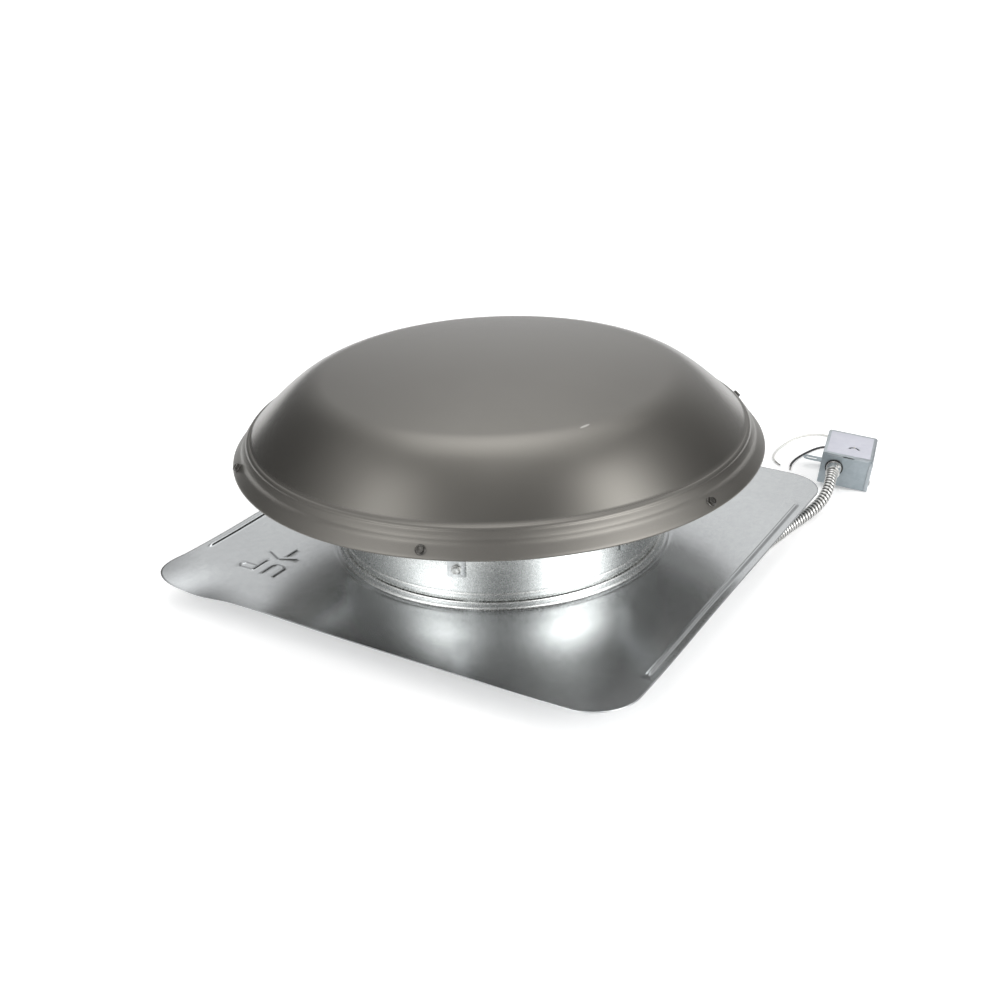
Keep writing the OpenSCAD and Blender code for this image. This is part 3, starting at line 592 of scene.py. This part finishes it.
def sheet_z(x, y):
    """Top of the sheet above the flashing's underside, in mm."""
    r = math.hypot(x, y - 4)
    r0 = NECK + 1.6
    z = 0.8
    if r < FLARE:
        u = max(0.0, (r - r0) / (FLARE - r0))
        z += 1.8 * (1 - u) ** 1.5 + 4.2 * math.exp(-max(0.0, r - r0) / 4.0) + 0.4 * math.exp(-((r - 203.0) / 1.3) ** 2)
    # rolled stiffening ribs
    dx, dy = abs(abs(x) - 293.0), max(abs(y - PY) - 212.0, 0.0)
    d = math.hypot(dx, dy)
    if d < 3.6:
        z += 2.3 * 0.5 * (1 + math.cos(math.pi * d / 3.6))
    # slow waves of a thin sheet, strongest along its free edges
    e = max(abs(x), abs(y - PY)) / FW
    w = max(0.0, (e - 0.72) / 0.28) ** 2
    z += w * (0.55 * math.sin(x / 47.0 + 1.3) * math.cos(y / 83.0) + 0.45 * math.sin(y / 59.0 + 0.4))
    # two corners that are bent up a little, two that sit a little low
    c = max(abs(x) + abs(y - PY) - 440, 0) / 140
    z += min(c, 1) ** 2 * ((4.0 if x > 0 else 3.5) if y > 0 else -1.2)
    # and a dent in the free edge beside the mark's corner
    if y > 200:
        z -= 7.0 * math.exp(-((x - 235.0) / 42.0) ** 2) * max((y - PY - 240) / 64, 0) ** 2
    return z


def corner_out(x, y):
    """How far along the diagonal the mark's corner is drawn out, in mm each way."""
    t = min(max((x + y - PY - 545) / 35, 0), 1) if x > 0 and y > 0 else 0
    return 5.0 * t * t


def flashing():
    pts = []
    # outline, a rounded square
    k = FW - FR
    n = 22
    for sx, sy, a0 in ((1, 1, 0), (-1, 1, 90), (-1, -1, 180), (1, -1, 270)):
        for i in range(n + 1):
            a = math.radians(a0 + 90 * i / n)
            pts.append((sx * k + FR * math.cos(a), PY + sy * k + FR * math.sin(a)))
        for ins, step in ((1.6, 1), (4.0, 2), (8.0, 2), (13.0, 3), (19.0, 3)):
            for i in range(0, n + 1, step):
                a = math.radians(a0 + 90 * i / n)
                pts.append((sx * k + (FR - ins) * math.cos(a), PY + sy * k + (FR - ins) * math.sin(a)))
    m_ = int(2 * k / 5)
    for i in range(1, m_):
        u = -k + 2 * k * i / m_
        for ins in (0, 1.6, 4.0):
            w = FW - ins
            pts += [(u, PY - w), (u, PY + w), (-w, PY + u), (w, PY + u)]
    nr = 240
    for r in [NECK + 1.6, 195, 197, 198.5, 199.7, 200.6, 201.3, 202, 202.7, 203.4, 204.4, 206, 208] + [208 + 40 * j / 14 for j in range(1, 15)]:
        for i in range(nr):
            a = 2 * math.pi * i / nr
            pts.append((r * math.cos(a), 4 + r * math.sin(a)))
    fine = []
    for a, b in SEGS:
        L = np.linalg.norm(b - a)
        d = (b - a) / L
        nn = np.array([-d[1], d[0]])
        for i in range(int(L / 1.1) + 1):
            for o in (-2.3, -1.55, -0.8, 0.0, 0.8, 1.55, 2.3):
                p = a + d * min(L, i * 1.1) + nn * o
                fine.append(p)
    kept = []
    for p in fine:
        if all(abs(p[0] - q[0]) + abs(p[1] - q[1]) > 0.55 for q in kept):
            kept.append(p)
    pts += [tuple(p) for p in kept]
    for s in (-1, 1):
        for i in range(0, 75):
            y = PY - 218 + 436 * i / 74
            for o in (-4.2, -3.2, -2.2, -1.2, 0, 1.2, 2.2, 3.2, 4.2):
                pts.append((s * 293 + o, y))
    g = 6.5
    nx = int(FW / g)
    for i in range(-nx, nx + 1):
        for j in range(-nx, nx + 1):
            x, y = i * g, j * g
            if math.hypot(x, y + PY - 4) < FLARE + 8 or abs(abs(x) - 293) < 6 or abs(x) > FW - 6 or abs(y) > FW - 6:
                continue
            ax_, ay_ = abs(x) - k, abs(y) - k
            if ax_ > 0 and ay_ > 0 and math.hypot(ax_, ay_) > FR - 22:
                continue
            if 166 < x < 236 and 158 < y + PY < 234 and stroke_dist(np.array((x, y + PY))) < 4:
                continue
            pts.append((x, y + PY))
    out = delaunay_2d_cdt([Vector(p) for p in pts], [], [], 0, 1e-5)
    vs, fs = out[0], out[2]
    verts = []
    for p in vs:
        z = sheet_z(p.x, p.y)
        if 166 < p.x < 236 and 158 < p.y < 234:
            d = stroke_dist(np.array((p.x, p.y)))
            if d < 2.3:
                z += 0.8 * 0.5 * (1 + math.cos(math.pi * d / 2.3))
        q = corner_out(p.x, p.y)
        verts.append(((p.x + q) * MM, (p.y + q) * MM, H + z * MM))
    faces = []
    for f in fs:
        c = sum((vs[i] for i in f), Vector((0, 0))) / len(f)
        if math.hypot(c.x, c.y - 4) > NECK + 1.5:
            faces.append(list(f))
    # the drawn neck that stands up inside the collar
    neck = [(NECK + 1.6, 6.8), (NECK + 0.8, 7.25), (NECK + 0.25, 8.0), (NECK, 9.0), (NECK, 13.0), (NECK, 19.5)]
    nv, nf = lathe([(r * MM, H + z * MM) for r, z in neck], nr, close=False)
    verts, faces = merge([(verts, faces), (nv, nf)])
    me = bpy.data.meshes.new("flashing_sheet")
    me.from_pydata(verts, [], faces)
    bm = bmesh.new()
    bm.from_mesh(me)
    bmesh.ops.remove_doubles(bm, verts=bm.verts, dist=2e-6)
    loose = [v for v in bm.verts if not v.link_faces]
    bmesh.ops.delete(bm, geom=loose, context="VERTS")
    bmesh.ops.recalc_face_normals(bm, faces=bm.faces)
    up = sum(f.normal.z for f in bm.faces)
    if up < 0:
        bmesh.ops.reverse_faces(bm, faces=bm.faces)
    bm.to_mesh(me)
    bm.free()
    o = finish_piece("flashing_sheet", me, "flashing_steel", reps=("flashing",), sharp=0)
    painted_shade = []
    for v in me.vertices:
        x, y = v.co.x * 1000, v.co.y * 1000
        g = 0.0
        # painted shade along the mark's pressed strokes and on the inner flank of each rib
        if 166 < x < 236 and 158 < y < 234:
            d = stroke_dist(np.array((x, y)))
            g = 0.62 * max(0.0, 1 - abs(d - 0.5) / 1.3)
        d = abs(abs(x) - 290.6)
        if abs(y - PY) < 213:
            g = max(g, 0.8 * max(0.0, 1 - d / 1.3))
        # painted shade along the free edge and at the mark's corner
        g = max(g, 0.40 * min(max((y - PY - FW + 26) / 26, 0), 1) ** 1.3 * min(max((x + 230) / 120, 0), 1))
        g = max(g, 0.40 * min(max((x + y - PY - 520) / 60, 0), 1) if x > 0 and y > 0 else 0.0)
        painted_shade.append(g)
    paint(o, painted_shade)
    sol = o.modifiers.new("thickness", "SOLIDIFY")
    sol.thickness = 0.8 * MM
    sol.offset = -1
    return o


flashing()

# ---------------------------------------------------------------- collar
def collar():
    out = [(189.1, 122.2), (189.2, 123.2), (189.9, 124.0), (190.9, 124.0), (191.9, 123.2), (192.4, 122.0), (192.5, 120.5)]
    out += [(192.5, z) for z in np.linspace(116, 24, 12)]
    out += [(192.5, 22.6), (192.3, 21.8), (191.9, 21.0), (192.1, 20.4), (192.8, 19.9), (193.0, 19.2), (193.0, 17.0), (193.0, 15.2), (192.7, 14.3),
            (192.1, 13.7), (192.2, 13.2), (193.2, 12.9), (194.6, 12.5), (195.7, 11.6), (196.3, 10.4), (196.5, 9.2), (196.4, 8.0), (196.4, 6.8),
            (196.8, 5.4), (197.6, 4.2), (198.8, 3.1)]
    inn = [(196.2, 3.6), (193.4, 6.2), (191.95, 7.4), (191.9, 8.8), (191.8, 12.4), (191.7, 14), (191.7, 60), (191.7, 119.8), (191.2, 121.6), (190.2, 122.4)]
    prof = [(r * MM, H + z * MM) for r, z in out + inn]
    v, f = lathe(prof, 288, close=True)
    return piece("throat_collar", v, f, "collar_steel", reps=("collar",), sharp=50)


collar()

# ---------------------------------------------------------------- screws
def hex_washer_head(washer_r, flats_r, washer_t, head_h, shank_r, shank_l, slot=True):
    """Indented hex washer head, underside of the washer at z = 0, head up, in mm."""
    parts = []
    w = [(0, washer_t + 0.1), (flats_r * 0.9, washer_t + 0.1), (washer_r - 0.7, washer_t * 0.95), (washer_r - 0.15, washer_t * 0.6), (washer_r, washer_t * 0.3),
         (washer_r - 0.2, 0.0), (shank_r, 0.0)]
    parts.append(spin(w, 40))
    # hexagon with a chamfered crown and a shallow dish
    lv, lf = [], []
    rows = [(flats_r, washer_t * 0.6), (flats_r, head_h - 0.7), (flats_r * 0.965, head_h - 0.35), (flats_r * 0.90, head_h), (flats_r * 0.62, head_h), (flats_r * 0.5, head_h - 0.7), (0.01, head_h - 0.9)]
    n = 48
    for j, (r, z) in enumerate(rows):
        for k in range(n):
            a = 2 * math.pi * k / n
            hexr = math.cos(math.pi / 6) / math.cos((a + math.pi / 6) % (math.pi / 3) - math.pi / 6)
            s = {0: 1, 1: 1, 2: 0.92, 3: 0.72, 4: 0.15}.get(j, 0)
            rr = r * (s * hexr + (1 - s) * math.cos(math.pi / 6) * 1.02) if j < 5 else r
            lv.append((rr * math.cos(a), rr * math.sin(a), z))
    for j in range(len(rows) - 1):
        for k in range(n):
            a, b = j * n + k, j * n + (k + 1) % n
            lf.append([a, b, b + n, a + n])
    lf.append([(len(rows) - 1) * n + k for k in range(n)])
    parts.append((lv, lf))
    # threaded shank
    th = []
    z = 0.0
    while z < shank_l - 1.4:
        th += [(shank_r, -z), (shank_r * 0.80, -z - 0.55)]
        z += 1.1
    th += [(shank_r * 0.8, -shank_l + 1.2), (0.0, -shank_l)]
    parts.append(spin(th, 24))
    return merge(parts)


def spoke(a):
    return Matrix.Translation(AXIS) @ Matrix.Rotation(math.radians(a), 4, "Z")


td = np.array([8.1, -8.7]) / np.hypot(8.1, 8.7)
tn = np.array([-td[1], td[0]])
brim_tilt = math.pi / 2 - math.atan2(tn[1], tn[0])
head = hex_washer_head(5.6, 4.62, 1.1, 4.4, 2.1, 11)
parts_b, parts_c = [], []
rnd = random.Random(5)
for k in range(6):
    a = 47.5 + 60 * k
    mb = spoke(a) @ Matrix.Translation((0.3035, 0, 0.1313 + H)) @ Matrix.Rotation(brim_tilt, 4, "Y") @ Matrix.Translation((0, 0, 0.00002))
    if k == 3:     # one that wasn't driven home
        mb = mb @ Matrix.Translation((0, 0, 0.0026))
    parts_b.append(placed(head, mb @ Matrix.Rotation(rnd.random() * 1.05, 4, "Z") @ Matrix.Scale(MM, 4)))
    mc = spoke(a) @ Matrix.Translation((0.19435, 0, 0.050 + H)) @ Matrix.Rotation(math.pi / 2, 4, "Y")
    parts_c.append(placed(head, mc @ Matrix.Rotation(rnd.random() * 1.05, 4, "Z") @ Matrix.Scale(MM, 4)))
v, f = merge(parts_b)
piece("brim_screws", v, f, "screw_steel", reps=("dome_screws",), sharp=32, mat=M["brim_screw"])
v, f = merge(parts_c)
piece("collar_screws", v, f, "screw_steel", reps=("bracket_screws",), sharp=32)
refine("dome_brackets", "bracket_steel", 0.4)

# ---------------------------------------------------------------- bird screen
def bird_screen():
    r, z0, z1 = 0.1898, H + 0.1246, H + 0.2086
    parts = []
    nv = 94
    for k in range(nv):
        a = 2 * math.pi * k / nv
        zs = np.linspace(z0 + 0.0005, z1 - 0.0005, 15)
        path = np.array([[(r + 0.0006 * math.cos(math.pi * (i + k))) * math.cos(a), 0.004 + (r + 0.0006 * math.cos(math.pi * (i + k))) * math.sin(a), z] for i, z in enumerate(zs)])
        tan, us, vs = frames_vertical(path, a)
        parts.append(tube_fixed(path, 0.00055, 6, us, vs))
    for j in range(7):
        z = z0 + 0.004 + (z1 - z0 - 0.008) * j / 6
        n = nv * 2
        prof = []
        vv, ff = [], []
        for i in range(n):
            a = 2 * math.pi * i / n
            rr = r - 0.0006 * math.cos(math.pi * (i / 2 + j)) if i % 2 == 0 else r
            for s in range(6):
                t = 2 * math.pi * s / 6
                q = rr + 0.00055 * math.cos(t)
                vv.append((q * math.cos(a), 0.004 + q * math.sin(a), z + 0.00055 * math.sin(t)))
        for i in range(n):
            for s in range(6):
                a0, b0 = i * 6 + s, i * 6 + (s + 1) % 6
                a1, b1 = ((i + 1) % n) * 6 + s, ((i + 1) % n) * 6 + (s + 1) % 6
                ff.append([a0, a1, b1, b0])
        parts.append((vv, ff))
    v, f = merge(parts)
    piece("bird_screen_wires", v, f, "screen_wire", reps=("bird_screen",), sharp=0)


def frames_vertical(path, a):
    n = len(path)
    u = np.tile([math.cos(a), math.sin(a), 0.0], (n, 1))
    w = np.tile([-math.sin(a), math.cos(a), 0.0], (n, 1))
    return None, u, w


def tube_fixed(path, r, sides, us, vs):
    verts, faces = [], []
    for i, p in enumerate(path):
        for k in range(sides):
            a = 2 * math.pi * k / sides
            verts.append(p + r * (math.cos(a) * us[i] + math.sin(a) * vs[i]))
    for i in range(len(path) - 1):
        for k in range(sides):
            a, b = i * sides + k, i * sides + (k + 1) % sides
            faces.append([a, b, b + sides, a + sides])
    faces.append([k for k in range(sides)][::-1])
    faces.append([(len(path) - 1) * sides + k for k in range(sides)])
    return verts, faces


bird_screen()

# ---------------------------------------------------------------- motor, fan, box: CAD shapes with eased edges
for n_, s_, b_ in (("motor_bracket", "bracket_steel", 0.4), ("motor_studs", "screw_steel", 0.3), ("motor_stud_nuts", "screw_steel", 0.3),
                   ("motor_can", "motor_enamel", 0.3), ("motor_top_bell", "bell_casting", 0.5), ("motor_bottom_bell", "bell_casting", 0.5),
                   ("stator_core", "lamination", 0.2), ("stator_windings", "winding", 0.3), ("top_bearing", "bronze", 0.3), ("bottom_bearing", "bronze", 0.3),
                   ("motor_through_bolts", "screw_steel", 0.25), ("motor_connector", "connector_zinc", 0.7), ("motor_connector_locknut", "connector_zinc", 0.3),
                   ("box_connector", "connector_zinc", 0.9), ("box_connector_locknut", "connector_zinc", 0.3), ("connector_clamp_screws", "screw_steel", 0.2),
                   ("thermostat_box", "box_steel", 0.25), ("blank_label", "label_film", 0.05), ("cover_screws", "screw_steel", 0.3),
                   ("thermostat_switch", "switch_phenolic", 0.5), ("lead_bushing", "bushing_rubber", 0.5), ("ground_screw", "ground_green", 0.25)):
    refine(n_, s_, b_, 2 if b_ < 0.6 else 3)
for n_, s_, b_ in (("motor_shaft", "shaft_steel", 0.3), ("rotor", "lamination", 0.4), ("fan_hub", "bell_casting", 0.4), ("fan_spider", "bracket_steel", 0.3),
                   ("blade_rivets", "blade_aluminium", 0.3), ("hub_set_screw", "screw_steel", 0.2)):
    refine(n_, s_, b_, 2, "fan")
refine("setpoint_dial", "dial_plastic", 0.4, 2, "dial")


def blades():
    """The five blades with the camber that their flat blanks are rolled to: their long edges lift, their middles stay on the spider's arms."""
    me0 = frame["nodes"]["fan_blades"].data
    bm = bmesh.new()
    bm.from_mesh(me0)
    bmesh.ops.remove_doubles(bm, verts=bm.verts, dist=2e-6)
    bmesh.ops.dissolve_limit(bm, angle_limit=math.radians(0.6), verts=bm.verts, edges=bm.edges)
    local = []
    for k in range(5):
        local.append(Matrix.Translation(AXIS) @ Matrix.Rotation(math.radians(72 * k + 11.5), 4, "Z") @ Matrix.Translation((0, 0, 0.127)) @ Matrix.Rotation(math.radians(24), 4, "X"))
    owner = {}

    def whose(co):
        a = math.degrees(math.atan2(co.y - AXIS.y, co.x)) - 11.5
        return int(round(a / 72.0)) % 5
    for k, mt in enumerate(local):
        r3 = mt.to_3x3()
        for y in [i * 0.006 for i in range(-11, 12)]:
            fs = [f for f in bm.faces if whose(f.calc_center_median()) == k]
            geom = fs + list({e for f in fs for e in f.edges}) + list({v for f in fs for v in f.verts})
            bmesh.ops.bisect_plane(bm, geom=geom, dist=1e-6, plane_co=mt @ Vector((0, y, 0)), plane_no=r3 @ Vector((0, 1, 0)))
        inv = mt.inverted()
        for v in bm.verts:
            if whose(v.co) == k:
                q = inv @ v.co
                q.z += 1.15 * q.y * q.y
                owner[v] = mt @ q
    for v, co in owner.items():
        v.co = co
    edges = [e for e in bm.edges if len(e.link_faces) == 2 and e.calc_face_angle(0) > math.radians(40)]
    bmesh.ops.bevel(bm, geom=edges, offset=0.25 * MM, segments=2, profile=0.6, affect="EDGES", clamp_overlap=True)
    bmesh.ops.triangulate(bm, faces=[f for f in bm.faces if len(f.verts) > 4])
    me = bpy.data.meshes.new("fan_blades_rolled")
    bm.to_mesh(me)
    bm.free()
    return finish_piece("fan_blades_rolled", me, "blade_aluminium", "fan", ("fan_blades",), 35)


blades()
box_inv = BOXM.inverted()


def cover_fold(e):
    a, b = (box_inv @ v.co for v in e.verts)
    return abs(a.z - b.z) < 0.1 and abs(a.x - b.x) < 0.1 and min(a.z, b.z) > 44.5


refine("thermostat_cover", "cover_steel", 0.22, 2, folds=(40, 2.4, cover_fold))


def slab(lo, hi, r, slot, name, mtx=BOXM, body="housing", mat=None):
    """A rounded sheet-metal plate between two corners of a local frame, in mm."""
    bm = bmesh.new()
    bmesh.ops.create_cube(bm, size=1.0)
    lo, hi = Vector(lo), Vector(hi)
    for v in bm.verts:
        v.co = Vector([(lo[i] + hi[i]) / 2 + v.co[i] * (hi[i] - lo[i]) for i in range(3)])
    bmesh.ops.bevel(bm, geom=list(bm.edges), offset=r, segments=3, profile=0.5, affect="EDGES", clamp_overlap=True)
    bm.transform(mtx)
    me = bpy.data.meshes.new(name)
    bm.to_mesh(me)
    bm.free()
    return finish_piece(name, me, slot, body, (), 40, mat)


# a dark ring on the box face round the conduit connector, put there as painted shade of the knockout's gap
ring = [(8.6, 0.0), (11.0, 0.0), (11.6, 0.3), (11.7, 0.8), (11.3, 1.2), (10.4, 1.35), (8.6, 1.35)]
v, f = placed(spin(ring, 64, True), BOXM @ Matrix.Translation((18, 0, 25)) @ Matrix.Rotation(math.pi / 2, 4, "X"))
piece("connector_shade_ring", v, f, "bushing_rubber", sharp=40)
cover_lip = slab((61.4, -1.0, 0.6), (65.9, -0.15, 41.6), 0.35, "cover_steel", "cover_side_lip")

print("cord lengths", round(conduit_len, 4), round(white_len, 4), round(black_len, 4))

# ---------------------------------------------------------------- floor and light
def stage_floor():
    me = bpy.data.meshes.new("studio_floor")
    bm = bmesh.new()
    bmesh.ops.create_circle(bm, cap_ends=True, radius=40.0, segments=96)
    bm.to_mesh(me)
    bm.free()
    o = bpy.data.objects.new("studio_floor", me)
    o.location = (0, 0, -0.0004)
    scene.collection.objects.link(o)
    mt, nt, b = new_mat("studio_floor", (0.90, 0.90, 0.90), 0.9)
    b.inputs["Specular IOR Level"].default_value = 0.0
    b.inputs["Emission Color"].default_value = (1, 1, 1, 1)
    lp = nt.nodes.new("ShaderNodeLightPath")      # the lift in the floor's whiteness is for the eye only
    nt.links.new(maths(nt, "ADD", maths(nt, "MULTIPLY", lp.outputs["Is Camera Ray"], 0.22), 0.10), b.inputs["Emission Strength"])
    out = nt.nodes["Material Output"]
    tr = nt.nodes.new("ShaderNodeBsdfTransparent")
    mx = nt.nodes.new("ShaderNodeMixShader")
    ge = nt.nodes.new("ShaderNodeNewGeometry")
    nt.links.new(ge.outputs["Backfacing"], mx.inputs["Fac"])
    nt.links.new(b.outputs[0], mx.inputs[1])
    nt.links.new(tr.outputs[0], mx.inputs[2])
    nt.links.new(mx.outputs[0], out.inputs["Surface"])
    me.materials.append(mt)


stage_floor()

cam_az = math.atan2(back.y, back.x)      # direction from the object to the camera


# soft lights: degrees round from the camera (+ is to its right), degrees up, how narrow, how strong
LOBES = ((46, 27, 26, 5.4), (62, 27, 26, 2.0), (30, 27, 26, 1.0), (-48, 27, 26, 3.4), (-33, 27, 26, 0.7), (-76, 27, 20, 0.4),   # low, in front, seen in the collar
         (72, 50, 45, 2.8), (-72, 50, 45, 1.5), (-45, 52, 20, 0.3), (104, 52, 20, 0.5), (-104, 52, 20, 0.5),     # at the sides, seen in the dome's foot
         (180, 12, 14, 0.55), (180, 40, 20, 0.45), (148, 14, 14, 0.35), (180, 62, 14, 1.8), (0, 86, 14, 0.6))    # behind and overhead


def world():
    w = bpy.data.worlds.new("studio")
    scene.world = w
    w.use_nodes = True
    nt = w.node_tree
    bg = nt.nodes["Background"]
    tc = nt.nodes.new("ShaderNodeTexCoord")
    d = tc.outputs["Generated"]

    def lobe(azim, elev, tight, gain):
        v = Vector((math.cos(azim) * math.cos(elev), math.sin(azim) * math.cos(elev), math.sin(elev)))
        dot = node(nt, "ShaderNodeVectorMath", operation="DOT_PRODUCT")
        nt.links.new(d, dot.inputs[0])
        dot.inputs[1].default_value = v
        e = maths(nt, "MULTIPLY", maths(nt, "SUBTRACT", dot.outputs["Value"], 1.0), tight)
        return maths(nt, "MULTIPLY", maths(nt, "EXPONENT", e, 0.0), gain)
    total = None
    for az_, el_, tight, gain in LOBES:
        one = lobe(cam_az + math.radians(az_), math.radians(el_), tight, gain)
        total = one if total is None else maths(nt, "ADD", total, one)
    total = maths(nt, "ADD", total, 0.14)
    nt.links.new(total, bg.inputs["Strength"])
    bg.inputs["Color"].default_value = (1, 1, 1, 1)
    # what the camera sees behind everything is plain white
    lp = nt.nodes.new("ShaderNodeLightPath")
    white = nt.nodes.new("ShaderNodeBackground")
    white.inputs["Strength"].default_value = 1.0
    mx = nt.nodes.new("ShaderNodeMixShader")
    nt.links.new(lp.outputs["Is Camera Ray"], mx.inputs["Fac"])
    nt.links.new(bg.outputs[0], mx.inputs[1])
    nt.links.new(white.outputs[0], mx.inputs[2])
    nt.links.new(mx.outputs[0], nt.nodes["World Output"].inputs["Surface"])


world()


def softbox(name, azim, elev, dist, size, power, aim_at=(0, 0, 0.12)):
    li = bpy.data.lights.new(name, "AREA")
    li.shape = "RECTANGLE"
    li.size, li.size_y = size
    li.energy = power
    o = bpy.data.objects.new(name, li)
    scene.collection.objects.link(o)
    p = Vector((math.cos(azim) * math.cos(elev), math.sin(azim) * math.cos(elev), math.sin(elev))) * dist + Vector(aim_at)
    o.location = p
    o.rotation_mode = "QUATERNION"
    o.rotation_quaternion = (Vector(aim_at) - p).to_track_quat("-Z", "Y")
    return o


softbox("overhead", cam_az + math.radians(165), math.radians(70), 2.6, (2.4, 1.8), 3)
